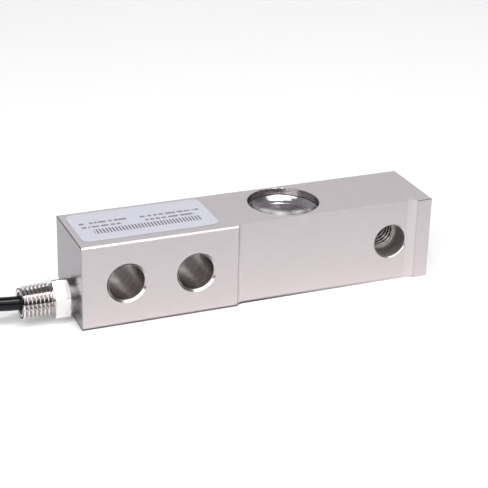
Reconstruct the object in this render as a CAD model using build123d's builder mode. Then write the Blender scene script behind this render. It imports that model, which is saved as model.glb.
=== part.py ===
from build123d import *
import math
import os

# Single-ended shear-beam load cell, shown lying on its side: the gauge pockets look up and down,
# and the two mounting holes and the threaded load hole run along Y through the beam.
# Millimetres. +X runs along the beam to the loaded end, +Y away from the mounting pad, +Z up.
# The origin is on the underside, below the middle of the two mounting holes, mid-width.

# Beam
beam_width = 30.0
beam_height = 31.0
end_to_first_hole = 16.2
mount_hole_pitch = 25.4
mount_to_load_hole = 76.2
load_hole_to_tip = 15.6
hole_height = 15.7
mount_hole_radius = 6.55
mount_hole_chamfer = 0.82
back_hole_chamfer = 0.5
pad_length = 56.9
pad_edge_chamfer = 0.5
edge_break = 0.25

# Milled relief beside the mounting pad, and the lip left at the loaded end
relief_depth = 1.7
relief_corner_radius = 3.2
lip_length = 5.9
lip_setback = 0.4

# Threaded load hole with a plain counterbore at its mouth
load_thread_radius = 6.0
load_counterbore_radius = 6.2
load_counterbore_depth = 8.1
load_mouth_chamfer = 0.4

# Gauge pockets, one from each side, with the web between them
pocket_to_load_hole = 37.2
pocket_side_offset = 0.85
cup_bore_radius = 12.9
cup_rim_depth = 2.55
cup_floor_depth = 4.6
cup_sheet = 0.6
cup_bend_radius = 0.9
cup_ring_radius = 10.2
cup_step_width = 0.6
cup_step_depth = 0.4
cup_dish_sag = 1.3
cup_clearance = 0.05
mouth_break = 0.2
gauge_pocket_radius = 11.2
web_thickness = 3.0

# Wire passage under the mounting holes, and the small hole through the web
passage_radius = 1.25
passage_height = 6.7
link_hole_radius = 1.1
link_hole_side = 6.4

# Strain gauges on the web
carrier_length = 9.6
carrier_width = 7.0
carrier_thickness = 0.2
foil_thickness = 0.1
grid_line = 0.24
grid_pitch = 0.48
grid_lines = 6
grid_length = 2.6
grid_offset = 2.3
tab_width = 0.8
tab_length = 0.7

# Terminal boards, trimming resistors and wires
board_offset = 7.3
board_length = 9.0
board_width = 4.0
board_thickness = 0.8
resistor_length = 2.0
resistor_pitch = 1.5
resistor_shift = 0.45
resistor_side = 0.65
resistor_width = 1.2
resistor_thickness = 0.6
jumper_radius = 0.15
jumper_rise = 1.6
link_wire_radius = 0.18
link_wire_pitch = 0.5
link_wire_rise = 1.4
link_landing = 3.4
core_radius = 0.45
core_spread = 0.5

# Cable gland: hexagon, tapered conduit nipple with 18 threads to the inch, threaded spigot
gland_side = -1.9
gland_height = 7.63
washer_thickness = 1.5
washer_radius = 6.2
hex_length = 5.8
hex_across_flats = 13.45
hex_turn = 19.6
hex_chamfer = 0.6
nipple_length = 11.0
thread_pitch = 25.4 / 18
thread_height = 1.1
first_crest = 0.9
crest_radius_hex = 6.41
crest_radius_mouth = 6.09
crest_flat = 0.16
mouth_chamfer = 0.5
grommet_radius = 4.0
grommet_length = 6.0
gland_bore_radius = 2.7
port_radius = 5.0
port_depth = 7.0
spigot_clearance = 0.1
spigot_end_gap = 0.5
spigot_hole_clearance = 0.1
plug_length = 3.5
plug_clearance = 0.1
bundle_clearance = 0.05

# Label film on the upper face
label_from_end = 2.2
label_length = 49.7
label_width = 23.6
label_from_back = 2.0
label_corner = 3.0
label_thickness = 0.15

# Free cable: the bends of its route are given by distance from the nipple's mouth, side and height
cable_radius = 2.5
cable_straight = 2.8
cable_bends = [(14.3, 1.2, 8.3), (24.8, 5.2, 5.0)]
cable_on_floor = [(34.8, 9.6), (44.8, 12.5)]
cable_to_hank = 54.3
grommet_clearance = 0.15
sheath_inside = 9.0

# The rest of the cable, folded into a hank: two end loops, and a waist where the tie holds the runs
hank_half_length = 48.5
hank_loop_radius = 23.1
hank_bundle = 10.1
hank_waist = 20.2
hank_height = 25.2
hank_corner = 2.4
hank_hole_end = 25.0
hank_hole_end_radius = 3.3
tie_width = 4.4
tie_thickness = 1.2
tie_clearance = 0.15
tie_head = 6.0
tie_head_height = 4.0

# The cable's stripped end, on the floor inside the far loop
tail_root = 17.0
sleeve_from_middle = 26.0
sleeve_length = 13.0
sleeve_thickness = 0.45
sleeve_clearance = 0.05
sleeve_overhang = 2.0
stripped_radius = 0.65
stripped_length = 20.0
stripped_spread = 1.15
stripped_bend = 4.0
stripped_fan_upper = 5.5
stripped_fan_lower = 2.1
drain_radius = 0.35

# Places that follow from the sizes above
end_x = -end_to_first_hole - mount_hole_pitch / 2
load_x = mount_hole_pitch / 2 + mount_to_load_hole
tip_x = load_x + load_hole_to_tip
front_y = -beam_width / 2
back_y = beam_width / 2
pad_x = end_x + pad_length
relief_y = front_y + relief_depth
lip_x = tip_x - lip_length
lip_y = front_y + lip_setback
relief_middle = (pad_x + lip_x) / 2
pocket_x = load_x - pocket_to_load_hole
pocket_y = pocket_side_offset
mid_z = beam_height / 2
web_top = mid_z + web_thickness / 2
web_bottom = mid_z - web_thickness / 2
cup_seat_depth = cup_floor_depth + cup_sheet
mid_plane = Plane.XY.offset(mid_z)
pocket_axis = Axis((pocket_x, pocket_y, 0), (0, 0, 1))
gland_axis = Axis((end_x, gland_side, gland_height), (1, 0, 0))


def front_plane(x, y):
    """A plane on the front of the beam at hole height, looking out along -Y."""
    return Plane(origin=(x, y, hole_height), x_dir=(1, 0, 0), z_dir=(0, -1, 0))


def end_plane(x, y, z):
    """A plane across X at a point, looking out along -X."""
    return Plane(origin=(x, y, z), x_dir=(0, -1, 0), z_dir=(-1, 0, 0))


def circles_at(part, radius, axis, place):
    """The circular edges of one radius that lie at one place along an axis."""
    found = part.edges().filter_by(GeomType.CIRCLE).filter_by_position(axis, place - 0.01, place + 0.01)
    return found.filter_by(lambda e: abs(e.radius - radius) < 0.01)


def bend_radii(points):
    """The arc at each inner point of a route, as large as its two runs allow."""
    radii = []
    for before, corner, after in zip(points, points[1:], points[2:]):
        run_in = Vector(*corner) - Vector(*before)
        run_out = Vector(*after) - Vector(*corner)
        turn = math.radians(run_in.get_angle(run_out))
        radii.append(0.45 * min(run_in.length, run_out.length) / math.tan(turn / 2))
    return radii


# Beam: a ground steel bar with broken edges, milled relief, drilled holes and turned pockets
relief_run = math.sqrt(relief_corner_radius ** 2 - (relief_corner_radius - relief_depth) ** 2)
lip_run = math.sqrt(
    relief_corner_radius ** 2 - (relief_corner_radius - relief_depth + lip_setback) ** 2
)

with BuildPart() as beam:
    # the bar's section has a wider chamfer along the pad's front edges, the others are only broken
    with BuildSketch(Plane.YZ.offset(end_x)) as pad_section:
        Rectangle(beam_width, beam_height, align=(Align.CENTER, Align.MIN))
        chamfer(pad_section.vertices().group_by(Axis.X)[0], length=pad_edge_chamfer)
        chamfer(pad_section.vertices().group_by(Axis.X)[-1], length=edge_break)
    extrude(amount=relief_middle - end_x)
    # the loaded end is set back a little, from the middle of the relief onwards
    with BuildSketch(Plane.YZ.offset(relief_middle)) as lip_section:
        with Locations((lip_setback / 2, 0)):
            Rectangle(beam_width - lip_setback, beam_height, align=(Align.CENTER, Align.MIN))
        chamfer(lip_section.vertices(), length=edge_break)
    extrude(amount=tip_x - relief_middle)
    chamfer(beam.faces().sort_by(Axis.X)[0].edges(), length=edge_break)
    chamfer(beam.faces().sort_by(Axis.X)[-1].edges(), length=edge_break)
    # relief milled across the front, with the cutter's corner radius at both ends
    with BuildSketch(Plane.XY) as relief_section:
        with BuildLine():
            Line((pad_x + relief_run, relief_y), (lip_x - lip_run, relief_y))
            TangentArc((lip_x - lip_run, relief_y), (lip_x, lip_y), tangent=(1, 0))
            Polyline(
                (lip_x, lip_y),
                (tip_x, lip_y),
                (tip_x, front_y),
                (pad_x, front_y),
            )
            TangentArc((pad_x + relief_run, relief_y), (pad_x, front_y), tangent=(-1, 0))
        make_face()
    extrude(amount=beam_height, mode=Mode.SUBTRACT)
    # mounting holes
    with Locations(front_plane(0, front_y)):
        with GridLocations(mount_hole_pitch, 0, 2, 1):
            Hole(mount_hole_radius)
    chamfer(circles_at(beam, mount_hole_radius, Axis.Y, front_y), length=mount_hole_chamfer)
    chamfer(circles_at(beam, mount_hole_radius, Axis.Y, back_y), length=back_hole_chamfer)
    # load hole
    with Locations(front_plane(load_x, relief_y)):
        CounterBoreHole(load_thread_radius, load_counterbore_radius, load_counterbore_depth)
    chamfer(circles_at(beam, load_counterbore_radius, Axis.Y, relief_y), length=load_mouth_chamfer)
    chamfer(circles_at(beam, load_thread_radius, Axis.Y, back_y), length=back_hole_chamfer)
    # gauge pockets from above and below
    for plane in (Plane.XY.offset(beam_height), Plane(origin=(0, 0, 0), x_dir=(1, 0, 0), z_dir=(0, 0, -1))):
        side = plane.z_dir.Z
        with BuildSketch(plane):
            with Locations((pocket_x, side * pocket_y)):
                Circle(cup_bore_radius)
        extrude(amount=-cup_seat_depth, mode=Mode.SUBTRACT)
        with BuildSketch(plane):
            with Locations((pocket_x, side * pocket_y)):
                Circle(gauge_pocket_radius)
        extrude(amount=-(beam_height - web_thickness) / 2, mode=Mode.SUBTRACT)
    chamfer(circles_at(beam, cup_bore_radius, Axis.Z, beam_height), length=mouth_break)
    chamfer(circles_at(beam, cup_bore_radius, Axis.Z, 0), length=mouth_break)
    # hole through the web for the link wires
    with BuildSketch(Plane.XY.offset(web_top)):
        with Locations((pocket_x - board_offset, pocket_y + link_hole_side)):
            Circle(link_hole_radius)
    extrude(amount=-web_thickness, mode=Mode.SUBTRACT)
    # cable port and wire passage
    with BuildSketch(end_plane(end_x, gland_side, gland_height)):
        Circle(port_radius)
    extrude(amount=-port_depth, mode=Mode.SUBTRACT)
    with BuildSketch(end_plane(end_x + port_depth, gland_side, passage_height)):
        Circle(passage_radius)
    passage_length = pocket_x - end_x - port_depth - gauge_pocket_radius + passage_radius
    extrude(amount=-passage_length, mode=Mode.SUBTRACT)
    chamfer(circles_at(beam, port_radius, Axis.X, end_x), length=edge_break)
beam.part.label = "beam"

# Sealing cups: drawn sheet cups pressed into the pockets, open side outwards
cup_radius = cup_bore_radius - cup_clearance
cup_inner = cup_radius - cup_sheet
cup_plane = Plane(origin=(pocket_x, pocket_y, beam_height), x_dir=(1, 0, 0), z_dir=(0, -1, 0))
dish_edge = cup_ring_radius - cup_step_width
dish_edge_depth = cup_floor_depth + cup_step_depth

with BuildPart() as top_cup:
    with BuildSketch(cup_plane):
        with BuildLine():
            inside_wall = FilletPolyline(
                (cup_inner, -cup_rim_depth),
                (cup_inner, -cup_floor_depth),
                (cup_ring_radius, -cup_floor_depth),
                (dish_edge, -dish_edge_depth),
                radius=[cup_bend_radius, cup_sheet / 2],
            )
            TangentArc((0, -dish_edge_depth - cup_dish_sag), (dish_edge, -dish_edge_depth), tangent=(1, 0))
            Line((0, -dish_edge_depth - cup_dish_sag), (0, -dish_edge_depth - cup_dish_sag - cup_sheet))
            TangentArc(
                (0, -dish_edge_depth - cup_dish_sag - cup_sheet),
                (dish_edge - cup_sheet / 2, -dish_edge_depth - cup_sheet),
                tangent=(1, 0),
            )
            FilletPolyline(
                (dish_edge - cup_sheet / 2, -dish_edge_depth - cup_sheet),
                (cup_ring_radius - cup_sheet / 2, -cup_seat_depth),
                (cup_radius, -cup_seat_depth),
                (cup_radius, -cup_rim_depth),
                radius=[cup_sheet, cup_bend_radius + cup_sheet],
            )
            Line((cup_radius, -cup_rim_depth), (cup_inner, -cup_rim_depth))
        make_face()
    revolve(axis=pocket_axis)
top_cup.part.label = "top_cup"

with BuildPart() as bottom_cup:
    mirror(top_cup.part, about=mid_plane)
bottom_cup.part.label = "bottom_cup"

# Strain gauges: a carrier bonded to the web with two crossed foil grids on it
with BuildPart() as gauge_carrier_top:
    with BuildSketch(Plane.XY.offset(web_top)):
        with Locations((pocket_x, pocket_y)):
            RectangleRounded(carrier_length, carrier_width, carrier_thickness)
    extrude(amount=carrier_thickness)
gauge_carrier_top.part.label = "gauge_carrier_top"

with BuildPart() as gauge_carrier_bottom:
    mirror(gauge_carrier_top.part, about=mid_plane)
gauge_carrier_bottom.part.label = "gauge_carrier_bottom"

grid_width = (grid_lines - 1) * grid_pitch
foil_level = web_top + carrier_thickness

with BuildPart() as gauge_foil_top:
    with BuildSketch(Plane.XY.offset(foil_level)):
        for side in (-1, 1):
            with Locations(Location((pocket_x + side * grid_offset, pocket_y, 0), (0, 0, side * 45))):
                with GridLocations(grid_pitch, 0, grid_lines, 1):
                    Rectangle(grid_line, grid_length)
                for turn in range(grid_lines - 1):
                    end = 1 if turn % 2 == 0 else -1
                    with Locations(((turn + 0.5) * grid_pitch - grid_width / 2, end * grid_length / 2)):
                        Rectangle(grid_pitch + grid_line, grid_line)
                for end in (-1, 1):
                    with Locations(
                        (end * (grid_width + tab_width - grid_line) / 2, -(grid_length + tab_length) / 2)
                    ):
                        Rectangle(tab_width, tab_length)
    extrude(amount=foil_thickness)
gauge_foil_top.part.label = "gauge_foil_top"

with BuildPart() as gauge_foil_bottom:
    mirror(gauge_foil_top.part, about=mid_plane)
gauge_foil_bottom.part.label = "gauge_foil_bottom"

# Terminal boards bonded to the web beside the gauges
with BuildPart() as terminal_board_top:
    with BuildSketch(Plane.XY.offset(web_top)):
        with Locations((pocket_x - board_offset, pocket_y)):
            Rectangle(board_width, board_length)
    extrude(amount=board_thickness)
terminal_board_top.part.label = "terminal_board_top"

with BuildPart() as terminal_board_bottom:
    mirror(terminal_board_top.part, about=mid_plane)
terminal_board_bottom.part.label = "terminal_board_bottom"

board_level = web_bottom - board_thickness
resistor_x = pocket_x - board_offset - resistor_shift
resistors = {"span_resistor": -1, "balance_resistor": 1}
resistor_parts = []
for name, side in resistors.items():
    with BuildPart() as resistor:
        with BuildSketch(Plane.XY.offset(board_level)):
            with Locations((resistor_x + side * resistor_pitch / 2, pocket_y + resistor_side)):
                Rectangle(resistor_width, resistor_length)
        extrude(amount=-resistor_thickness)
    resistor.part.label = name
    resistor_parts.append(resistor.part)

# Jumper wires from the foil tabs to the terminal board, each in an upright bow
board_edge_x = pocket_x - board_offset + board_width / 2
tab_side = (grid_width + tab_width - grid_line) / 2
tab_back = (grid_length + tab_length) / 2
half = math.sqrt(0.5)
tab_points = []
for side in (-1, 1):
    for end in (-1, 1):
        across = end * tab_side
        down = -tab_back
        tab_points.append((
            pocket_x + side * grid_offset + half * (across - side * down),
            pocket_y + half * (side * across + down),
        ))
tab_points.sort(key=lambda p: p[1])
landing_pitch = board_length / (len(tab_points) + 1)

with BuildPart() as jumper_wires_top:
    for order, (x, y) in enumerate(tab_points):
        land_y = pocket_y + (order + 0.5 - len(tab_points) / 2) * landing_pitch
        foil_top = foil_level + foil_thickness
        bow = foil_top + jumper_rise + order * 3 * jumper_radius
        with BuildLine() as jumper_route:
            FilletPolyline(
                (x, y, foil_top),
                (x, y, bow),
                (board_edge_x - 4 * jumper_radius, land_y, bow),
                (board_edge_x - 4 * jumper_radius, land_y, web_top + board_thickness),
                radius=3 * jumper_radius,
            )
        with BuildSketch(Plane(origin=(x, y, foil_top), z_dir=(0, 0, 1))):
            Circle(jumper_radius)
        sweep(path=jumper_route.line)
jumper_wires_top.part.label = "jumper_wires_top"

with BuildPart() as jumper_wires_bottom:
    mirror(jumper_wires_top.part, about=mid_plane)
jumper_wires_bottom.part.label = "jumper_wires_bottom"

# Link wires from the upper board through the web to the lower board
link_top = web_top + board_thickness
link_bottom = web_bottom - board_thickness

with BuildPart() as link_wires:
    for place in range(4):
        x = pocket_x - board_offset + (place - 1.5) * link_wire_pitch
        near = pocket_y + link_landing + link_wire_radius
        far = pocket_y + link_hole_side
        with BuildLine() as link_route:
            FilletPolyline(
                (x, near, link_top),
                (x, near, link_top + link_wire_rise),
                (x, far, link_top + link_wire_rise),
                (x, far, link_bottom - link_wire_rise),
                (x, near, link_bottom - link_wire_rise),
                (x, near, link_bottom),
                radius=3 * link_wire_radius,
            )
        with BuildSketch(Plane(origin=(x, near, link_top), z_dir=(0, 0, 1))):
            Circle(link_wire_radius)
        sweep(path=link_route.line)
link_wires.part.label = "link_wires"

# Gland body: revolved about its own axis, with the hexagon cut from the round
hex_face = end_x - washer_thickness
hex_back = hex_face - hex_length
mouth_x = hex_back - nipple_length
hex_corner = hex_across_flats / 2 / math.cos(math.radians(30))
spigot_tip = end_x + port_depth - spigot_end_gap
spigot_radius = port_radius - spigot_clearance
taper = (crest_radius_hex - crest_radius_mouth) / nipple_length
gland_plane = Plane(origin=(0, gland_side, gland_height), x_dir=(1, 0, 0), z_dir=(0, -1, 0))

# nipple outline from the hexagon to the mouth: a crest with a small flat at each turn
nipple_outline = []
crest_count = int((nipple_length - first_crest - mouth_chamfer) / thread_pitch) + 1
root_run = thread_pitch - crest_flat
for crest in range(crest_count):
    x = hex_back - first_crest - crest * thread_pitch
    crest_radius = crest_radius_hex - taper * (hex_back - x)
    if crest > 0:
        nipple_outline.append((x + thread_pitch / 2, crest_radius - thread_height))
    nipple_outline.append((x + crest_flat / 2, crest_radius))
    nipple_outline.append((x - crest_flat / 2, crest_radius))
last_root_x = nipple_outline[-1][0] - root_run / 2
nipple_outline.append((last_root_x, crest_radius_mouth - thread_height))

with BuildPart() as gland_body:
    with BuildSketch(gland_plane):
        with BuildLine():
            Polyline(
                (spigot_tip, gland_bore_radius),
                (spigot_tip, spigot_radius),
                (hex_face, spigot_radius),
                (hex_face, hex_corner - hex_chamfer * math.tan(math.radians(60))),
                (hex_face - hex_chamfer, hex_corner),
                (hex_back, hex_corner),
                (hex_back, crest_radius_hex - thread_height),
                *nipple_outline,
                (mouth_x, crest_radius_mouth - thread_height),
                (mouth_x, grommet_radius),
                (mouth_x + grommet_length, grommet_radius),
                (mouth_x + grommet_length, gland_bore_radius),
                close=True,
            )
        make_face()
    revolve(axis=gland_axis)
    # flats of the hexagon
    with BuildSketch(Plane(origin=(hex_back, gland_side, gland_height), x_dir=(0, -1, 0), z_dir=(1, 0, 0))):
        Circle(hex_corner + mouth_chamfer)
        RegularPolygon(hex_corner, 6, rotation=-hex_turn, mode=Mode.SUBTRACT)
    extrude(amount=hex_length, mode=Mode.SUBTRACT)
gland_body.part.label = "gland_body"

# Sealing washer between the hexagon and the end of the beam
with BuildPart() as gland_washer:
    with BuildSketch(end_plane(end_x, gland_side, gland_height)):
        Circle(washer_radius)
        Circle(spigot_radius + spigot_hole_clearance, mode=Mode.SUBTRACT)
    extrude(amount=washer_thickness)
gland_washer.part.label = "gland_washer"

# Rubber grommet in the mouth of the nipple
with BuildPart() as cable_grommet:
    with BuildSketch(end_plane(mouth_x + grommet_length, gland_side, gland_height)):
        Circle(grommet_radius)
        Circle(cable_radius + grommet_clearance, mode=Mode.SUBTRACT)
    extrude(amount=grommet_length)
cable_grommet.part.label = "cable_grommet"

# Potting plug behind the stripped sheath, round the four cores
sheath_x = mouth_x + sheath_inside
core_places = [(y, z) for y in (-core_spread, core_spread) for z in (-core_spread, core_spread)]

with BuildPart() as potting_plug:
    with BuildSketch(end_plane(sheath_x + plug_length, gland_side, gland_height)):
        Circle(gland_bore_radius - plug_clearance)
        Circle(core_spread * math.sqrt(2) + core_radius + bundle_clearance, mode=Mode.SUBTRACT)
    extrude(amount=plug_length)
potting_plug.part.label = "potting_plug"

# Four cores: out of the sheath, down into the passage, along it, and up to the lower board
core_names = ("core_red", "core_black", "core_green", "core_white")
drop_start = sheath_x + plug_length + core_radius
drop_end = spigot_tip - 2 * core_radius
rise_x = pocket_x - board_offset - board_width / 2 + 2 * core_radius
core_parts = []
for name, (y, z) in zip(core_names, core_places):
    rise = rise_x - z
    with BuildPart() as core:
        with BuildLine() as core_route:
            FilletPolyline(
                (sheath_x, gland_side + y, gland_height + z),
                (drop_start, gland_side + y, gland_height + z),
                (drop_end, gland_side + y, passage_height + z),
                (rise, gland_side + y, passage_height + z),
                (rise, gland_side + y, web_bottom - board_thickness),
                radius=[core_radius, core_radius, 2.5 * core_radius],
            )
        with BuildSketch(end_plane(sheath_x, gland_side + y, gland_height + z)):
            Circle(core_radius)
        sweep(path=core_route.line)
    core.part.label = name
    core_parts.append(core.part)

# Label film: plain, with rounded corners
with BuildPart() as label_film:
    with BuildSketch(Plane.XY.offset(beam_height)):
        with Locations((
            end_x + label_from_end + label_length / 2,
            back_y - label_from_back - label_width / 2,
        )):
            RectangleRounded(label_length, label_width, label_corner)
    extrude(amount=label_thickness)
label_film.part.label = "label_film"

# Free cable from inside the gland to the hank on the floor
join_side = cable_on_floor[-1][1]
cable_points = [
    (sheath_x, gland_side, gland_height),
    (mouth_x - cable_straight, gland_side, gland_height),
    *[(mouth_x - distance, y, z) for distance, y, z in cable_bends],
    *[(mouth_x - distance, y, cable_radius) for distance, y in cable_on_floor],
    (mouth_x - cable_to_hank, join_side, cable_radius),
]
cable_radii = bend_radii(cable_points)

with BuildPart() as cable:
    with BuildLine() as cable_route:
        FilletPolyline(*cable_points, radius=cable_radii)
    with BuildSketch(end_plane(*cable_points[0])):
        Circle(cable_radius)
    sweep(path=cable_route.line)
cable.part.label = "cable"

# Hank of the remaining cable: its outer shape, with the straight ends where the cable joins and leaves.
# The cable joins at the side of the near loop. The waist's curve touches the circles of both loops.
outer_turn = hank_loop_radius - cable_radius
join_x = mouth_x - cable_to_hank
join_reach = math.sqrt(hank_loop_radius ** 2 - (outer_turn - cable_radius) ** 2) + cable_radius
hank_x = join_x - join_reach - hank_half_length
hank_y = join_side - outer_turn
half_waist = hank_waist / 2
waist_radius = (hank_half_length ** 2 + half_waist ** 2 - hank_loop_radius ** 2) / (
    2 * (hank_loop_radius - half_waist)
)
touch = waist_radius / (waist_radius + hank_loop_radius)
touch_x = hank_half_length * touch
touch_y = (waist_radius + half_waist) * (1 - touch)
sleeve_radius = cable_radius + sleeve_clearance + sleeve_thickness
sleeve_start = hank_x - sleeve_from_middle
tail_x = sleeve_start - sleeve_length + sleeve_overhang
tie_plane = Plane(origin=(hank_x, hank_y, hank_height / 2), x_dir=(0, -1, 0), z_dir=(1, 0, 0))
band_width = hank_waist - 2 * tie_clearance
band_height = hank_height - 2 * tie_clearance

with BuildPart() as cable_coil:
    with BuildSketch(Plane((hank_x, hank_y, 0))):
        with Locations((-hank_half_length, 0), (hank_half_length, 0)):
            Circle(hank_loop_radius)
        Rectangle(2 * touch_x, 2 * touch_y)
        with Locations((0, half_waist + waist_radius), (0, -half_waist - waist_radius)):
            Circle(waist_radius, mode=Mode.SUBTRACT)
        for side in (-1, 1):
            with BuildSketch(mode=Mode.PRIVATE) as loop_hole:
                with Locations((side * hank_half_length, 0)):
                    Circle(hank_loop_radius - hank_bundle)
                with Locations((side * hank_hole_end, 0)):
                    Circle(hank_hole_end_radius)
                make_hull()
            add(loop_hole.sketch, mode=Mode.SUBTRACT)
    extrude(amount=hank_height)
    fillet(cable_coil.edges().filter_by(Axis.Z, reverse=True), radius=hank_corner)
    with BuildSketch(end_plane(*cable_points[-1])):
        Circle(cable_radius)
    extrude(amount=join_reach)
    with BuildSketch(end_plane(hank_x - tail_root, hank_y, sleeve_radius)):
        Circle(cable_radius)
    extrude(amount=hank_x - tail_root - tail_x)
    # waist where the tie pulls the runs together
    with BuildSketch(tie_plane):
        Rectangle(hank_waist + 2 * tie_clearance, hank_height + 2 * tie_clearance)
        RectangleRounded(
            band_width - 2 * tie_thickness - 2 * tie_clearance,
            band_height - 2 * tie_thickness - 2 * tie_clearance,
            hank_corner,
            mode=Mode.SUBTRACT,
        )
    extrude(amount=tie_width / 2 + tie_clearance, both=True, mode=Mode.SUBTRACT)
cable_coil.part.label = "cable_coil"

# Tie strap round the runs, with its small head outside
with BuildPart() as coil_tie:
    with BuildSketch(tie_plane):
        RectangleRounded(band_width, band_height, hank_corner + tie_thickness)
        RectangleRounded(
            band_width - 2 * tie_thickness, band_height - 2 * tie_thickness, hank_corner, mode=Mode.SUBTRACT
        )
    extrude(amount=tie_width / 2, both=True)
    with BuildSketch(tie_plane):
        with Locations(((band_width + tie_head_height) / 2 - tie_clearance, 0)):
            Rectangle(tie_head_height, tie_head)
    extrude(amount=tie_width / 2, both=True)
coil_tie.part.label = "coil_tie"

# Shrunk sleeve on the free end of the cable
with BuildPart() as end_sleeve:
    with BuildSketch(end_plane(sleeve_start, hank_y, sleeve_radius)):
        Circle(sleeve_radius)
        Circle(cable_radius + sleeve_clearance, mode=Mode.SUBTRACT)
    extrude(amount=sleeve_length)
end_sleeve.part.label = "end_sleeve"

# Stripped cores and the shield's drain wire, which fan out and come down to the floor past the sleeve
stripped_cores = {
    "stripped_red": (1, 1, stripped_radius, stripped_fan_upper),
    "stripped_black": (-1, 1, stripped_radius, stripped_fan_upper),
    "stripped_green": (-1, -1, stripped_radius, stripped_fan_lower),
    "stripped_white": (1, -1, stripped_radius, stripped_fan_lower),
    "shield_drain": (0, 0, drain_radius, 0),
}
stripped_parts = []
for name, (side, level, radius, fan) in stripped_cores.items():
    y = hank_y + side * stripped_spread * math.sqrt(0.5)
    z = sleeve_radius + level * stripped_spread * math.sqrt(0.5)
    stripped_points = [
        (tail_x, y, z),
        (tail_x - stripped_bend, y, z),
        (tail_x - stripped_length, hank_y + side * fan, radius),
    ]
    with BuildPart() as stripped:
        with BuildLine() as stripped_route:
            FilletPolyline(*stripped_points, radius=bend_radii(stripped_points))
        with BuildSketch(end_plane(*stripped_points[0])):
            Circle(radius)
        sweep(path=stripped_route.line)
    stripped.part.label = name
    stripped_parts.append(stripped.part)

# One STEP file for each piece
os.makedirs("parts", exist_ok=True)
pieces = [
    beam.part,
    top_cup.part,
    bottom_cup.part,
    gauge_carrier_top.part,
    gauge_carrier_bottom.part,
    gauge_foil_top.part,
    gauge_foil_bottom.part,
    terminal_board_top.part,
    terminal_board_bottom.part,
    *resistor_parts,
    jumper_wires_top.part,
    jumper_wires_bottom.part,
    link_wires.part,
    gland_body.part,
    gland_washer.part,
    cable_grommet.part,
    potting_plug.part,
    *core_parts,
    label_film.part,
    cable.part,
    cable_coil.part,
    coil_tie.part,
    end_sleeve.part,
    *stripped_parts,
]
for piece in pieces:
    export_step(piece, f"parts/{piece.label}.step")

print("cable bend radii", [round(r, 1) for r in cable_radii])
cable_path_length = sum(edge.length for edge in cable_route.line.edges())
expected = math.pi * cable_radius ** 2 * cable_path_length
print("cable volume", round(cable.part.volume, 1), "section times length", round(expected, 1))
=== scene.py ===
"""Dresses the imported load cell: surface finishes, threads, drawn cup, label film, free cable and studio."""

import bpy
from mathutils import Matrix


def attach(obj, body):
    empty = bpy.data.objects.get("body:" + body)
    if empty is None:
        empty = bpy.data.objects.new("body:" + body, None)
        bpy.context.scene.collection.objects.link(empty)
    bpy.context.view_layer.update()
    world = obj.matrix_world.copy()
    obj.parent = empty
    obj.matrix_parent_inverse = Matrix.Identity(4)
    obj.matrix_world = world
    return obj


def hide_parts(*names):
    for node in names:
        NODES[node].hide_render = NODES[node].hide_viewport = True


bl_info = {
    "name": "Beam Load Cell Dressing",
    "version": (1, 0, 0),
    "blender": (4, 5, 0),
    "location": "View3D > Sidebar > Load Cell",
    "description": "Finishes the solids of a beam load cell and sets up its studio",
    "category": "Object",
}

import math

import bmesh
import bpy
from mathutils import Vector

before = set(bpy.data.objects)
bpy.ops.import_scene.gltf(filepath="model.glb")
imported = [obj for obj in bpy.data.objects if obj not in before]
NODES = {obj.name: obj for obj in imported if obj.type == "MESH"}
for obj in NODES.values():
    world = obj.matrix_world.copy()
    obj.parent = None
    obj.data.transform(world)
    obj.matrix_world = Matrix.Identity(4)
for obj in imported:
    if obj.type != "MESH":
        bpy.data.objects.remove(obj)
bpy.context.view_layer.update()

MM = 0.001

# Places on the load cell in millimetres, as its solids have them
FLAT_TOP = 31.0
HOLE_HEIGHT = 15.7
POCKET = (51.7, 0.85)
MOUNT_HOLES = (-12.7, 12.7)
LOAD_HOLE = 88.9
GLAND_AXIS = (-1.9, 7.63)
END_FACE = -28.9
PAD_END, LIP_START, PAST_BEAM = 31.0, 98.4, 110.0
# the front faces alone lie before this place across the beam
FRONT_SKIN = -11.0
# the counterbore's bottom lies between the first two, and its wall grows browner, as deepening painted shade,
# between the others
SHOULDER = (-5.30, -5.10)
COUNTERBORE_WALL = (-12.5, -6.0)
# radii that take in the walls of the holes, their countersinks, and the turned wall of the pocket
MOUNT_WALL, MOUNT_SINK = 6.62, 7.6
LOAD_WALL, LOAD_SINK = 6.25, 6.9
POCKET_WALL = (12.5, 12.98)
# the cutter's fillet beside the lip, and the fine line where it ends
FILLET, FILLET_LINE = (95.3, 98.5), (98.55, 98.95)

# the hexagon's two sides and the nipple's mouth, and the ends of the load hole's thread
GLAND_FACE, GLAND_BACK, GLAND_MOUTH = -30.4, -36.2, -47.2
THREAD_START, THREAD_END = -5.2, 14.5
# The drawn cup's section as radius and depth: from its rim down the wall to the bead, and its underside
CUP_WALL = (
    (12.85, 2.66), (12.78, 2.57), (12.44, 2.56), (12.32, 2.62), (12.22, 2.76), (12.02, 3.06), (11.74, 3.40),
    (11.42, 3.74), (11.08, 4.06), (10.76, 4.32), (10.46, 4.50), (10.24, 4.59), (10.08, 4.60), (9.94, 4.66),
    (9.78, 4.82), (9.60, 4.97),
)
CUP_UNDER = ((0.0, 6.9), (9.3, 5.6), (9.9, 5.2), (12.25, 5.2), (12.85, 4.6))
DISH_RADIUS, DISH_TOP, DISH_DEPTH, DISH_STEPS = 9.4, 5.03, 1.27, 12
# Form of each thread over one turn, as a part of the turn and a part of the depth
GLAND_THREAD = (
    (0.0, 0.0), (0.06, 0.03), (0.14, 0.22), (0.26, 0.55), (0.40, 0.92), (0.5, 1.0),
    (0.60, 0.92), (0.74, 0.55), (0.86, 0.22), (0.94, 0.03),
)
LOAD_THREAD = (
    (0.0, 0.0), (0.06, 0.05), (0.18, 0.3), (0.32, 0.7), (0.44, 1.0), (0.56, 1.0), (0.68, 0.7),
    (0.82, 0.3), (0.94, 0.05),
)
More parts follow.
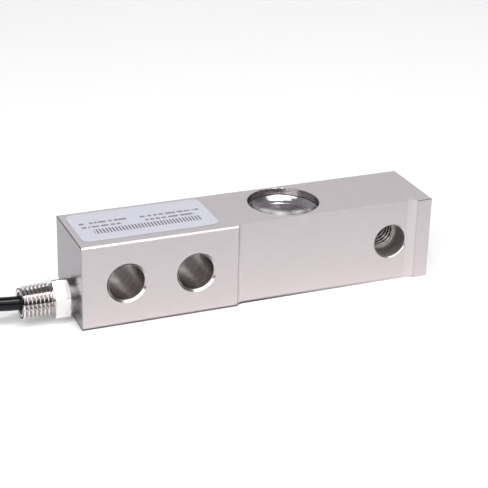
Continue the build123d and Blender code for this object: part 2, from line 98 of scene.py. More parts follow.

# Colours of the finishes, and of the painted light and shade on them. A mottled one is a pair, of its two
# extreme shades
# the steel low on the beam carries painted bounce light from the floor, and the steel high on it has none
STEEL_LOW_BOUNCE_LIT = ((0.615, 0.556, 0.560), (0.680, 0.618, 0.622))
STEEL_HIGH = ((0.505, 0.464, 0.472), (0.560, 0.518, 0.528))
STEEL_CLOUD = (0.575, 0.540, 0.555)
# painted shade on the end face
END_FACE_SHADE = (0.275, 0.256, 0.271)
# brown of the hole walls, partly their drilled finish and partly painted shade
HOLE_WALL = ((0.130, 0.104, 0.098), (0.520, 0.450, 0.440))
COUNTERSINK = (0.72, 0.69, 0.68)
# painted shade on the right side of each countersink
COUNTERSINK_SHADE = (0.54, 0.51, 0.51)
TURNED_LINE = (0.20, 0.18, 0.185)
# painted sheen on the fillet, and the painted shade line where it ends
FILLET_PAINTED_SHEEN = (0.80, 0.75, 0.755)
FILLET_SHADE_LINE = (0.34, 0.31, 0.315)
DARK_BEVEL = (0.10, 0.085, 0.082)
# painted contact shadow along the beam's lower edges
CONTACT_SHADOW = (0.045, 0.037, 0.035)
DRAWN_SHEET = ((0.56, 0.54, 0.545), (0.66, 0.645, 0.65))
DISH = ((0.46, 0.43, 0.46), (0.53, 0.50, 0.53))
# painted dark reflection over the dish apart from its back, and its painted highlights
DISH_DARK_REFLECTION = (0.26, 0.24, 0.245)
DISH_HIGHLIGHT = (0.62, 0.60, 0.60)
PLATING = ((0.80, 0.775, 0.77), (0.86, 0.84, 0.835))
# painted shade in the gland thread's grooves
PLATING_GROOVE_SHADE = (0.33, 0.29, 0.28)
THREAD_CREST = ((0.42, 0.38, 0.37), (0.60, 0.56, 0.55))
# painted shade in the load thread's grooves, and painted sheen on its first face
THREAD_GROOVE_SHADE = (0.045, 0.037, 0.035)
THREAD_FACE_SHEEN = (0.88, 0.84, 0.83)
FILM = ((0.560, 0.558, 0.640), (0.600, 0.598, 0.682))
INK = (0.075, 0.072, 0.08)
FLOOR_PAPER = ((0.90, 0.90, 0.90), (0.93, 0.93, 0.93))
CORE_COLOURS = {
    "red": (0.45, 0.02, 0.015),
    "black": (0.012, 0.012, 0.012),
    "green": (0.02, 0.20, 0.05),
    "white": (0.75, 0.75, 0.72),
}

# Middles of the painted highlights on the drawn cup's dish
DISH_HIGHLIGHT_PLACES = ((46.8, 7.6), (52.3, 3.7), (59.3, 2.3))

# Bars on the label film in place of print, and its band of stripes, as left, right, front and back. The rate is
# that of the stripes in radians to a millimetre
LABEL_ROWS = (
    (-23.9, -6.8, 3.5, 4.9),
    (-23.9, -9.8, 0.3, 1.6),
    (-1.8, 20.1, 3.3, 4.6),
    (-0.8, 17.5, 0.2, 1.5),
)
LABEL_BAND = (-20.6, 18.4, -5.3, -1.4)
STRIPE_RATE = 5.4


class LoadCellSettings(bpy.types.PropertyGroup):
    """Sizes and finishes that the operators read, apart from the cable length, which nothing reads."""

    grain: bpy.props.FloatProperty(
        name="Grain", description="Depth of the fine grain on the beam", default=0.06, min=0.0, max=1.0
    )
    column_count: bpy.props.IntProperty(
        name="Columns", description="Steps round a turned surface", default=120, min=24, max=360
    )
    cable_radius: bpy.props.FloatProperty(
        name="Cable radius", description="Radius of the cable's jacket", default=0.0025, unit="LENGTH"
    )
    cable_length: bpy.props.FloatProperty(
        name="Cable length", description="Whole length of the cable", default=3.0, unit="LENGTH"
    )
    lamp_power: bpy.props.FloatProperty(
        name="Lamps", description="Power of the lamps, as a share of their full power", default=1.0, min=0.0
    )


def settings():
    return bpy.context.scene.load_cell


# Node helpers

def new_material(name):
    """A material with nodes, its tree and its shader."""
    material = bpy.data.materials.new(name)
    material.use_nodes = True
    tree = material.node_tree
    return material, tree, tree.nodes["Principled BSDF"]


def put(tree, value, socket):
    """Links the value to an input where it is a socket itself, and sets the input to it otherwise."""
    if isinstance(value, bpy.types.NodeSocket):
        tree.links.new(value, socket)
    else:
        socket.default_value = value


def add(tree, kind, **values):
    """A node of one kind. Values named in_ and a name or number go to inputs, and others to properties."""
    node = tree.nodes.new(kind)
    for name, value in values.items():
        if name.startswith("in_"):
            key = name[3:]
            put(tree, value, node.inputs[int(key)] if key.isdigit() else node.inputs[key.replace("_", " ")])
        else:
            setattr(node, name, value)
    return node


def maths(tree, operation, *values):
    node = add(tree, "ShaderNodeMath", operation=operation)
    for index, value in enumerate(values):
        put(tree, value, node.inputs[index])
    return node.outputs[0]


def product(tree, first, *others):
    for value in others:
        first = maths(tree, "MULTIPLY", first, value)
    return first


def total(tree, first, *others):
    for value in others:
        first = maths(tree, "ADD", first, value)
    return first


def one_less(tree, value):
    """What is left of one without the value."""
    return maths(tree, "SUBTRACT", 1.0, value)


def position(tree):
    """The place on the object in millimetres, as separate X, Y and Z sockets and as one vector."""
    coordinates = add(tree, "ShaderNodeTexCoord").outputs["Object"]
    scaled = add(tree, "ShaderNodeVectorMath", operation="SCALE", in_0=coordinates, in_Scale=1 / MM)
    vector = scaled.outputs["Vector"]
    return *add(tree, "ShaderNodeSeparateXYZ", in_0=vector).outputs, vector


def radius_from(tree, first, second, centre):
    """Distance from an axis, given the two coordinates across it and its place in them."""
    across = [maths(tree, "SUBTRACT", value, middle) for value, middle in zip((first, second), centre)]
    return maths(tree, "SQRT", total(tree, *(product(tree, value, value) for value in across)))


def map_range(tree, value, low, high, at_low=0.0, at_high=1.0):
    """Goes from one result to the other as the value goes from low to high, and holds beyond them."""
    node = add(tree, "ShaderNodeMapRange", in_0=value)
    for index, number in enumerate((low, high, at_low, at_high), 1):
        node.inputs[index].default_value = number
    return node.outputs[0]


def step_below(tree, value, edge, soft=0.02):
    """One where the value is under the edge, falling to zero over a short way."""
    return map_range(tree, value, edge - soft, edge + soft, 1.0, 0.0)


def between(tree, value, low, high, soft=0.02):
    """One where the value is between the two edges."""
    return product(
        tree, step_below(tree, value, high, soft), one_less(tree, step_below(tree, value, low, soft))
    )


def mix(tree, factor, first, second):
    """The first colour where the factor is zero, and the second where it is one."""
    node = add(tree, "ShaderNodeMix", data_type="RGBA", in_0=factor)
    for index, colour in ((6, first), (7, second)):
        value = colour if isinstance(colour, bpy.types.NodeSocket) else (*colour, 1.0)
        put(tree, value, node.inputs[index])
    return node.outputs[2]


def noise(tree, vector, scale, detail=2.0, stretch=None, roughness=0.5):
    if stretch:
        stretched = add(tree, "ShaderNodeVectorMath", operation="MULTIPLY", in_0=vector, in_1=stretch)
        vector = stretched.outputs[0]
    node = add(
        tree, "ShaderNodeTexNoise", in_Vector=vector, in_Scale=scale, in_Detail=detail,
        in_Roughness=roughness,
    )
    return node.outputs[0]


def spread(tree, value, low, high):
    """Maps a noise value, which seldom leaves its middle half, to a range."""
    return map_range(tree, value, 0.25, 0.75, low, high)


def shades(tree, value, pair):
    """A colour between two shades, by a noise value."""
    return mix(tree, spread(tree, value, 0.0, 1.0), *pair)


def bump(tree, height, strength, distance):
    node = add(tree, "ShaderNodeBump", in_Height=height, in_Strength=strength, in_Distance=distance)
    return node.outputs["Normal"]


def finish(tree, shader, base, rough, normal, metallic=0.0):
    """Connects a finish to the shader."""
    tree.links.new(base, shader.inputs["Base Color"])
    tree.links.new(rough, shader.inputs["Roughness"])
    tree.links.new(normal, shader.inputs["Normal"])
    put(tree, metallic, shader.inputs["Metallic"])


# Object helpers

def give(node_name, material):
    """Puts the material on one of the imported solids."""
    data = NODES[node_name].data
    data.materials.clear()
    data.materials.append(material)


def smooth(obj, angle=40.0):
    """Shades the object smooth, apart from edges sharper than the angle in degrees."""
    for polygon in obj.data.polygons:
        polygon.use_smooth = True
    obj.data.set_sharp_from_angle(angle=math.radians(angle))


def new_object(name, mesh, material):
    obj = bpy.data.objects.new(name, mesh)
    bpy.context.scene.collection.objects.link(obj)
    mesh.materials.append(material)
    return obj


# Materials

def beam_steel():
    """Ground steel with a fine satin grain, brown in its holes, dark on parts of its upper edges, and painted
    light and shade: bounce light low down, shade in its holes, on its end face and on one side of each
    countersink, a sheen on the lip's fillet, and a contact shadow along its lower edges.
    """
    material, tree, shader = new_material("beam_steel")
    x, y, z, vector = position(tree)
    geometry = add(tree, "ShaderNodeNewGeometry")
    facing = add(tree, "ShaderNodeSeparateXYZ", in_0=geometry.outputs["True Normal"]).outputs
    grain = noise(tree, vector, 2.6, 3.0, roughness=0.7)
    streaks = noise(tree, vector, 1.3, 3.0, (0.12, 1.6, 1.6), 0.6)
    tone = total(tree, product(tree, grain, 0.5), product(tree, streaks, 0.5))

    # paler towards the bottom, a painted bounce light from the floor, with wide faint clouds
    bounce_fade = map_range(tree, z, 0.0, FLAT_TOP)
    base = mix(tree, bounce_fade, shades(tree, tone, STEEL_LOW_BOUNCE_LIT), shades(tree, tone, STEEL_HIGH))
    clouds = noise(tree, vector, 0.06, 2.0)
    base = mix(tree, spread(tree, clouds, 0.0, 0.3), base, STEEL_CLOUD)

    # the end face is painted darker than the sides, a painted shade for the dimmer surroundings it mirrors
    facing_end = step_below(tree, facing[0], -0.7, 0.05)
    end_face = product(tree, facing_end, step_below(tree, x, END_FACE + 0.3))
    base = mix(tree, end_face, base, END_FACE_SHADE)

    # brown drilling marks in the holes, partly their drilled finish and partly painted shade, and in the
    # counterbore more brown towards its bottom as deepening painted shade
    mounts = [radius_from(tree, x, z, (place, HOLE_HEIGHT)) for place in MOUNT_HOLES]
    mount = maths(tree, "MINIMUM", *mounts)
    load = radius_from(tree, x, z, (LOAD_HOLE, HOLE_HEIGHT))
    drilled = step_below(tree, mount, MOUNT_WALL, 0.04)
    bored = step_below(tree, load, LOAD_WALL, 0.03)
    in_hole = maths(tree, "MAXIMUM", drilled, bored)
    marks = noise(tree, vector, 1.0, 4.0, (0.30, 1.25, 0.30), 0.7)
    brown = shades(tree, marks, HOLE_WALL)
    base = mix(tree, product(tree, drilled, 0.9), base, brown)
    bored = product(tree, bored, one_less(tree, between(tree, y, *SHOULDER)))
    deeper_shade = map_range(tree, y, *COUNTERBORE_WALL, 0.40, 0.88)
    base = mix(tree, product(tree, bored, deeper_shade), base, brown)

    # the countersinks are bright, and less so on the right of each hole, where painted shade darkens the
    # chamfer
    sinks = [step_below(tree, mount, MOUNT_SINK), step_below(tree, load, LOAD_SINK)]
    near_hole = maths(tree, "MAXIMUM", *sinks)
    leaning = between(tree, maths(tree, "ABSOLUTE", facing[1]), 0.45, 0.9, 0.05)
    countersunk = product(tree, leaning, near_hole)
    base = mix(tree, countersunk, base, COUNTERSINK)
    shaded_right = product(tree, countersunk, step_below(tree, facing[0], -0.35, 0.2))
    base = mix(tree, shaded_right, base, COUNTERSINK_SHADE)

    # turning marks down the pocket's wall
    turned = between(tree, radius_from(tree, x, y, POCKET), *POCKET_WALL, 0.03)
    rings = add(
        tree, "ShaderNodeTexWave", wave_type="BANDS", bands_direction="Z",
        in_Vector=vector, in_Scale=0.50, in_Distortion=1.2,
    ).outputs[1]
    turned_lines = maths(tree, "MULTIPLY_ADD", rings, 0.55, 0.25)
    base = mix(tree, product(tree, turned, turned_lines), base, TURNED_LINE)

    # the cutter's fillet beside the lip is brighter with a painted sheen, and a fine line of painted shade lies
    # where it ends
    front = step_below(tree, y, FRONT_SKIN, 0.1)
    base = mix(tree, product(tree, between(tree, x, *FILLET, 0.2), front, 0.20), base, FILLET_PAINTED_SHEEN)
    base = mix(tree, product(tree, between(tree, x, *FILLET_LINE, 0.12), front, 0.35), base, FILLET_SHADE_LINE)

    # upper edge bevels: dark at the end and along the lip, and dark in broken patches along the relief
    at_top = one_less(tree, step_below(tree, z, FLAT_TOP - 0.5, 0.1))
    bevel = product(tree, at_top, between(tree, facing[2], 0.3, 0.9, 0.1))
    end_edge = product(tree, bevel, step_below(tree, facing[0], -0.3, 0.1))
    front_edge = product(tree, bevel, step_below(tree, facing[1], -0.3, 0.1))
    patch_noise = maths(tree, "GREATER_THAN", noise(tree, vector, 1.0, 2.0, (0.55, 0.0, 0.0)), 0.52)
    patchy = product(tree, between(tree, x, PAD_END, LIP_START, 0.1), patch_noise)
    dark_runs = maths(tree, "MAXIMUM", between(tree, x, LIP_START, PAST_BEAM, 0.1), patchy)
    edges = maths(tree, "MAXIMUM", product(tree, front_edge, dark_runs), end_edge)
    base = mix(tree, product(tree, edges, 0.8), base, DARK_BEVEL)

    # painted contact shadow on the lower edges: dark at the pad, fading along the relief
    lower = product(tree, step_below(tree, z, 0.80, 0.30), step_below(tree, x, 70.0, 34.0), 0.95)
    base = mix(tree, lower, base, CONTACT_SHADOW)

    rough = spread(tree, grain, 0.34, 0.42)
    changes = ((end_face, -0.10), (drilled, -0.06), (bored, 0.14), (turned, -0.16), (countersunk, -0.16))
    for where, change in changes:
        rough = total(tree, rough, product(tree, where, change))
    height = total(
        tree, product(tree, tone, settings().grain), product(tree, marks, in_hole, 1.6),
        product(tree, rings, turned, 1.8),
    )
    finish(tree, shader, base, rough, bump(tree, height, 0.5, 0.00012), 1.0)
    return material


def cup_steel():
    """Bright drawn sheet with faint rings round the pocket's axis, and a duller dish, painted darker apart from
    its back as a painted dark reflection, with painted highlights at three spots.
    """
    material, tree, shader = new_material("cup_steel")
    x, y, z, vector = position(tree)
    pocket = radius_from(tree, x, y, POCKET)
    fine = noise(tree, vector, 1.8, 2.0)
    # painted dark reflection over the dish apart from its back, and painted highlights at three spots
    dish = mix(tree, step_below(tree, y, 6.5, 2.0), shades(tree, fine, DISH), DISH_DARK_REFLECTION)
    for spot in DISH_HIGHLIGHT_PLACES:
        highlight = product(tree, step_below(tree, radius_from(tree, x, y, spot), 2.0, 1.6), 0.8)
        dish = mix(tree, highlight, dish, DISH_HIGHLIGHT)
    base = mix(tree, step_below(tree, pocket, 9.7, 0.2), shades(tree, fine, DRAWN_SHEET), dish)
    rings = maths(tree, "SINE", product(tree, pocket, 9.0))
    dents = noise(tree, vector, 0.16, 1.0)
    height = total(tree, product(tree, rings, 0.12), product(tree, fine, 0.3), product(tree, dents, 3.0))
    finish(tree, shader, base, spread(tree, fine, 0.12, 0.18), bump(tree, height, 0.25, 0.00006), 1.0)
    return material


def metal(name, dark, light, rough):
    """A plain polished or satin metal with a slight unevenness."""
    material, tree, shader = new_material(name)
    fine = noise(tree, position(tree)[3], 1.2, 3.0)
    rough = spread(tree, fine, rough * 0.85, rough * 1.2)
    finish(tree, shader, shades(tree, fine, (dark, light)), rough, bump(tree, fine, 0.04, 0.0001), 1.0)
    return material


def gland_plate():
    """Bright plating with painted shade, dull and brown, down in the thread's grooves."""
    material, tree, shader = new_material("gland_plate")
    x, y, z, vector = position(tree)
    fine = noise(tree, vector, 0.5, 3.0)
    # the taper is added back, so that the crests lie at one distance from the axis
    taper = product(tree, maths(tree, "SUBTRACT", GLAND_BACK, x), 0.0291)
    from_axis = total(tree, radius_from(tree, y, z, GLAND_AXIS), taper)
    # painted shade down in the thread's grooves
    groove_shade = product(
        tree, step_below(tree, from_axis, 5.65, 0.25), step_below(tree, x, GLAND_BACK - 0.2, 0.1),
        one_less(tree, step_below(tree, x, GLAND_MOUTH + 0.08)), 0.7,
    )
    base = mix(tree, groove_shade, shades(tree, fine, PLATING), PLATING_GROOVE_SHADE)
    finish(tree, shader, base, spread(tree, fine, 0.10, 0.14), bump(tree, fine, 0.02, 0.0001), 1.0)
    return material


def thread_steel():
    """Cut thread, bright on its crests, with painted shade in its grooves, and pale on its first face as a
    painted sheen.
    """
    material, tree, shader = new_material("thread_steel")
    x, y, z, vector = position(tree)
    load = radius_from(tree, x, z, (LOAD_HOLE, HOLE_HEIGHT))
    fine = noise(tree, vector, 1.4, 3.0, (0.4, 1.0, 0.4))
    # painted shade in the thread's grooves
    base = mix(tree, step_below(tree, load, 5.36, 0.16), THREAD_GROOVE_SHADE, shades(tree, fine, THREAD_CREST))
    # the first face is pale and less metallic, a painted sheen
    face = step_below(tree, y, THREAD_START + 0.05, 0.03)
    base = mix(tree, face, base, THREAD_FACE_SHEEN)
    metallic = one_less(tree, product(tree, face, 0.6))
    finish(tree, shader, base, spread(tree, fine, 0.22, 0.32), bump(tree, fine, 0.06, 0.0001), metallic)
    return material


def plastic(name, colour, rough, variation=0.12, scale=0.8, depth=0.05, specular=0.5):
    """Moulded or extruded plastic or rubber with slight mottling."""
    material, tree, shader = new_material(name)
    fine = noise(tree, position(tree)[3], scale, 3.0)
    dark = tuple(c * (1.0 - variation) for c in colour)
    light = tuple(min(1.0, c * (1.0 + variation)) for c in colour)
    rough = spread(tree, fine, rough * 0.85, rough * 1.15)
    finish(tree, shader, shades(tree, fine, (dark, light)), rough, bump(tree, fine, depth, 0.0002))
    shader.inputs["Specular IOR Level"].default_value = specular
    return material


def label_film():
    """Pale film with plain bars for its printed rows and a band of even stripes, and nothing to read."""
    material, tree, shader = new_material("label_white")
    x, y, z, vector = position(tree)
    fibres = noise(tree, vector, 0.5, 2.0)
    words = maths(tree, "GREATER_THAN", noise(tree, vector, 0.9, 0.0, (1.0, 0.05, 0.0)), 0.42)
    stripes = maths(tree, "GREATER_THAN", maths(tree, "SINE", product(tree, x, STRIPE_RATE)), 0.1)

    def block(left, right, front, back, soft):
        return product(tree, between(tree, x, left, right), between(tree, y, front, back, soft))

    ink = product(tree, block(*LABEL_BAND, 0.05), stripes)
    for row in LABEL_ROWS:
        ink = maths(tree, "MAXIMUM", ink, product(tree, block(*row, 0.06), words, 0.8))
    base = mix(tree, ink, shades(tree, fibres, FILM), INK)
    finish(tree, shader, base, spread(tree, fibres, 0.32, 0.40), bump(tree, fibres, 0.05, 0.0001))
    return material


# Meshes

def angles_round(columns):
    return [2 * math.pi * index / columns for index in range(columns)]


def ring_surface(name, rows):
    """A closed mesh from rows of points round an axis, of which the last joins the first."""
    mesh = bpy.data.meshes.new(name)
    made = bmesh.new()
    grid = [[made.verts.new(point) for point in row] for row in rows]
    count = len(rows[0])
    for index, lower in enumerate(grid):
        upper = grid[(index + 1) % len(grid)]
        for column in range(count):
            following = (column + 1) % count
            made.faces.new([lower[column], lower[following], upper[following], upper[column]])
    bmesh.ops.remove_doubles(made, verts=made.verts, dist=1e-7)
    bmesh.ops.recalc_face_normals(made, faces=made.faces)
    made.to_mesh(mesh)
    made.free()
    return mesh


def along_x(x, radius, angle, centre):
    """A point by its place along X and its angle round an axis along X, in metres. Angle 0 is towards -Y."""
    return (
        x * MM,
        (centre[0] - radius * math.cos(angle)) * MM,
        (centre[1] + radius * math.sin(angle)) * MM,
    )


def hexagon_radius(angle, across_flats, rounding):
    """Distance from the centre to a hexagon with slightly rounded corners. Angle 0 is a corner."""
    sixth = math.radians(30.0)
    turn = (math.degrees(angle) + 30.0) % 60.0 - 30.0
    half = across_flats / 2
    from_corner = math.radians(abs(turn))
    centre = (half - rounding) / math.cos(sixth)
    flat_end = sixth - math.atan((half - rounding) * math.tan(sixth) / half)
    if from_corner < flat_end:
        across = centre * math.sin(from_corner)
        return centre * math.cos(from_corner) + math.sqrt(rounding ** 2 - across ** 2)
    return half / math.cos(sixth - from_corner)


def gland_mesh(columns):
    """The gland body: hexagon with its chamfers, taper thread with a true helix, bore and spigot."""
    across_flats, corner_turn, corner_rounding = 13.45, math.radians(19.6), 0.3
    chamfer_slope = math.tan(math.radians(62.0))
    crest_hex, crest_mouth, thread_depth, pitch = 6.41, 6.09, 1.1, 25.4 / 18
    spigot_end, spigot_radius, bore, seat_radius, seat = -22.4, 4.9, 2.7, 4.0, -41.2
    edge, seat_edge = 0.04, 0.12
    angles = angles_round(columns)
    rows = []

    def row(x_of, r_of):
        rows.append([along_x(x_of(a), r_of(a), a, GLAND_AXIS) for a in angles])

    def hexagon(a):
        return hexagon_radius(a - corner_turn, across_flats, corner_rounding)

    def chamfer_depth(a):
        return max(0.0, (hexagon(a) - across_flats / 2) / chamfer_slope)

    # spigot and hexagon, with close rows by its edges so that its flats shade flat
    row(lambda a: spigot_end, lambda a: bore)
    row(lambda a: spigot_end, lambda a: spigot_radius)
    row(lambda a: GLAND_FACE, lambda a: spigot_radius)
    row(lambda a: GLAND_FACE, lambda a: across_flats / 2 - 0.25)
    row(lambda a: GLAND_FACE - chamfer_depth(a) - 0.02, lambda a: hexagon(a) - edge)
    for depth in (0.14, 0.22):
        row(lambda a, depth=depth: GLAND_FACE - chamfer_depth(a) - depth, hexagon)
    for depth in (0.20, 0.12):
        row(lambda a, depth=depth: GLAND_BACK + depth, hexagon)
    row(lambda a: GLAND_BACK + 0.03, lambda a: hexagon(a) - edge)
    row(lambda a: GLAND_BACK, lambda a: hexagon(a) - 0.14)
    row(lambda a: GLAND_BACK, lambda a: crest_hex - thread_depth)

    # the thread moves along by the helix, and is held between the hexagon and the mouth
    first_crest, start_angle = -37.1, math.radians(35.0)
    run_out, run_out_slope, lead_in, lead_in_slope = 0.25, 1.2, 0.35, 1.1
    turns = int((GLAND_BACK - GLAND_MOUTH) / pitch) + 3
    for turn in range(-1, turns):
        for part, depth in GLAND_THREAD:
            def place(a, part=part, turn=turn):
                shift = (a - start_angle) / (2 * math.pi)
                return first_crest - (turn + part + shift) * pitch

            def size(a, depth=depth, place=place):
                x = place(a)
                crest = crest_hex + (crest_mouth - crest_hex) * (GLAND_BACK - x) / (GLAND_BACK - GLAND_MOUTH)
                core = crest - thread_depth
                radius = crest - depth * thread_depth
                radius = min(radius, core + max(0.0, GLAND_BACK - x - run_out) * run_out_slope)
                radius = min(radius, core + lead_in + max(0.0, x - GLAND_MOUTH) * lead_in_slope)
                return max(core - 0.02, radius)

            row(lambda a, place=place: min(GLAND_BACK, max(GLAND_MOUTH, place(a))), size)

    # mouth, the grommet's seat and the bore
    row(lambda a: GLAND_MOUTH, lambda a: seat_radius + seat_edge)
    row(lambda a: GLAND_MOUTH + seat_edge, lambda a: seat_radius)
    row(lambda a: seat, lambda a: seat_radius)
    row(lambda a: seat, lambda a: bore)
    return ring_surface("gland_body_mesh", rows)


def cup_mesh(columns):
    """The upper sealing cup: rim, sloping drawn wall, bead and shallow dish round the pocket's axis."""
    dish = []
    for step in range(DISH_STEPS + 1):
        outward = 1 - step / DISH_STEPS
        dish.append((DISH_RADIUS * outward, DISH_TOP + DISH_DEPTH * (1 - outward ** 2)))

    def point(radius, depth, a):
        return (
            (POCKET[0] + radius * math.cos(a)) * MM,
            (POCKET[1] + radius * math.sin(a)) * MM,
            (FLAT_TOP - depth) * MM,
        )

    section = (*CUP_WALL, *dish, *CUP_UNDER)
    rows = [[point(radius, depth, a) for a in angles_round(columns)] for radius, depth in section]
    return ring_surface("drawn_cup_mesh", rows)


def load_thread_mesh(columns):
    """The load hole's thread: a helix of 1.75 mm pitch from the counterbore to the back."""
    pitch, major, minor, outside, run_out_slope = 1.75, 5.97, 5.12, 6.0, 1.2
    angles = angles_round(columns)

    def point(y, radius, a):
        return (
            (LOAD_HOLE + radius * math.cos(a)) * MM,
            y * MM,
            (HOLE_HEIGHT + radius * math.sin(a)) * MM,
        )

    rows = [[point(THREAD_START, outside, a) for a in angles]]
    turns = int((THREAD_END - THREAD_START) / pitch) + 3
    for turn in range(-1, turns):
        for part, depth in LOAD_THREAD:
            line = []
            for a in angles:
                y = THREAD_START + (turn + part - a / (2 * math.pi)) * pitch
                radius = major - depth * (major - minor) if y > THREAD_START else minor
                radius = max(radius, major - max(0.0, THREAD_END - y) * run_out_slope)
                line.append(point(min(THREAD_END, max(THREAD_START, y)), radius, a))
            rows.append(line)
    rows.append([point(THREAD_END, outside, a) for a in angles])
    return ring_surface("load_thread_mesh", rows)


# Cable

# Its route in metres: the same points as the solid tube has, and one more along the hank's side
ROUTE = (
    (-0.0382, -0.0019, 0.00763),
    (-0.0500, -0.0019, 0.00763),
    (-0.0615, 0.0012, 0.0083),
    (-0.0720, 0.0052, 0.0050),
    (-0.0820, 0.0096, 0.0025),
    (-0.0920, 0.0125, 0.0025),
    (-0.1015, 0.0125, 0.0025),
    (-0.1120, 0.0125, 0.0025),
)
# The cable's stripped end lies on the floor inside the hank's far loop
TAIL = (
    (-0.1910, -0.0077, 0.0028),
    (-0.1974, -0.0081, 0.0030),
    (-0.2038, -0.0081, 0.0030),
)
# Hank of cable: its middle, the place of the end loops, and each column's loop radius and side at the waist
HANK_MIDDLE = (-0.16685, -0.0081)
HANK_HALF = 0.0485
HANK_COLUMNS = ((0.0206, 0.0076), (0.01555, 0.00255))
HANK_FLOOR, HANK_LAYER = 0.0025, 0.00503
LOOP_STEPS = 10
# column and layer of each turn: up the outer column and down the inner one
TURNS = ((0, 0), (0, 1), (0, 2), (0, 3), (0, 4), (1, 4), (1, 3), (1, 2), (1, 1), (1, 0))
# control point at which the first turn moves over to the next place, how many points that takes, and how
# much earlier each later turn does
MOVE_START, MOVE_LENGTH, MOVE_EARLIER = 20, 4, 2
# the last turn goes no further than this control point, and on into the tail
LAST_POINT = 3


def turn_outline(loop_radius, waist_side):
    """Control points (x, y) of one turn about the hank's middle, from the near loop round the far one."""
    waist_radius = (HANK_HALF ** 2 + waist_side ** 2 - loop_radius ** 2) / (2 * (loop_radius - waist_side))
    touch = math.atan2(waist_radius + waist_side, -HANK_HALF)
    step = 2 * touch / LOOP_STEPS
    loop_reach = loop_radius * 4 / (3 + math.cos(step))
    bend = (touch - math.pi / 2) / 3
    waist_reach = waist_radius * 4 / (3 + math.cos(2 * bend))
    waist_x = waist_reach * math.sin(bend)
    waist_y = waist_radius + waist_side - waist_reach * math.cos(bend)

    def near(index):
        angle = -touch + step * index
        return HANK_HALF + loop_reach * math.cos(angle), loop_reach * math.sin(angle)

    near_points = [near(index) for index in range(LOOP_STEPS + 1)]
    far_points = [(-x, y) for x, y in reversed(near_points)]
    return [
        *near_points[-2:], (waist_x, waist_y), (-waist_x, waist_y),
        *far_points, (-waist_x, -waist_y), (waist_x, -waist_y), *near_points[:-2],
    ]


def hank_points():
    """Control points of the hank's turns. Each moves to its next place a little earlier than the last."""
    outlines = [turn_outline(*column) for column in HANK_COLUMNS]
    per_turn = len(outlines[0])
    points = []
    for index in range((len(TURNS) - 1) * per_turn + LAST_POINT + 1):
        turn, within = divmod(index, per_turn)
        here, following = TURNS[turn], TURNS[min(turn + 1, len(TURNS) - 1)]
        moved = (within - (MOVE_START - MOVE_EARLIER * turn)) / MOVE_LENGTH
        moved = min(1.0, max(0.0, moved))
        moved = moved * moved * (3 - 2 * moved)
        first, second = outlines[here[0]][within], outlines[following[0]][within]
        layer = here[1] * (1 - moved) + following[1] * moved
        points.append((
            HANK_MIDDLE[0] + first[0] * (1 - moved) + second[0] * moved,
            HANK_MIDDLE[1] + first[1] * (1 - moved) + second[1] * moved,
            HANK_FLOOR + HANK_LAYER * layer,
        ))
    return points


def cable_curve(radius):
    """The cable as one NURBS curve through its route, its hank and its tail."""
    points = [*ROUTE, *hank_points(), *TAIL]
    curve = bpy.data.curves.new("cable_line", "CURVE")
    curve.dimensions = "3D"
    spline = curve.splines.new("NURBS")
    spline.points.add(len(points) - 1)
    for point, place in zip(spline.points, points):
        point.co = (*place, 1.0)
    spline.order_u = 3
    spline.use_endpoint_u = True
    spline.resolution_u = 6
    curve.bevel_depth = radius
    curve.bevel_resolution = 5
    curve.use_fill_caps = True
    return curve


# Studio

# Colour of the backdrop and of the dim room, by the sine of the height above the horizon
BACKDROP = (
    (0.0, (0.32, 0.32, 0.33)),
    (0.60, (0.36, 0.36, 0.38)),
    (0.90, (0.24, 0.24, 0.25)),
)
ROOM = (
    (0.0, (0.08, 0.08, 0.08)),
    (0.35, (0.07, 0.07, 0.07)),
    (0.90, (0.24, 0.24, 0.25)),
)
# The room gives way to the backdrop between these, by the Y of the direction
ROOM_EDGE = (-0.25, 0.35)
# Softboxes: name, place, width and height, and power
SOFTBOXES = (
    ("side_box", (-0.74, -0.67, 0.66), (0.95, 0.95), 7.3),
    ("top_box", (0.25, -0.73, 0.91), (0.90, 0.90), 4.2),
    ("strip_lamp", (0.13, -0.34, 1.12), (0.42, 0.26), 4.4),
    ("left_box", (-0.30, -0.34, 1.06), (0.45, 0.45), 1.2),
    ("back_box", (0.42, 0.96, 0.60), (0.95, 0.40), 1.42),
)
LAMP_AIM = (0.03, 0.0, 0.0)
FLOOR_RADIUS, FLOOR_GLOW = 4.0, 0.16
# The camera as fitted to the photograph: place in metres, turn in degrees, and lens in millimetres
CAMERA_PLACE = (-0.155590, -0.452149, 0.237447)
CAMERA_TURN = (65.7974, -1.4057, -22.3801)
SENSOR_WIDTH, FOCAL_LENGTH = 36.0, 110.031


def make_floor():
    """A pale matt floor. It glows a little to the camera and in mirrors, so that it shows white there."""
    material, tree, shader = new_material("floor_white")
    paper = noise(tree, position(tree)[3], 0.02, 2.0)
    tree.links.new(mix(tree, paper, *FLOOR_PAPER), shader.inputs["Base Color"])
    shader.inputs["Roughness"].default_value = 0.9
    shader.inputs["Emission Color"].default_value = (1.0, 1.0, 1.0, 1.0)
    rays = add(tree, "ShaderNodeLightPath").outputs
    mirrored = maths(tree, "MAXIMUM", rays["Is Glossy Ray"], rays["Is Transmission Ray"])
    seen = maths(tree, "MAXIMUM", rays["Is Camera Ray"], mirrored)
    tree.links.new(product(tree, seen, FLOOR_GLOW), shader.inputs["Emission Strength"])
    mesh = bpy.data.meshes.new("floor")
    made = bmesh.new()
    bmesh.ops.create_circle(made, cap_ends=True, radius=FLOOR_RADIUS, segments=96)
    made.to_mesh(mesh)
    made.free()
    floor = new_object("floor", mesh, material)


def colour_ramp(tree, value, stops):
    node = add(tree, "ShaderNodeValToRGB", in_0=value)
    elements = node.color_ramp.elements
    while len(elements) < len(stops):
        elements.new(0.5)
    for element, (place, colour) in zip(elements, stops):
        element.position = place
        element.color = (*colour, 1.0)
    return node.outputs[0]


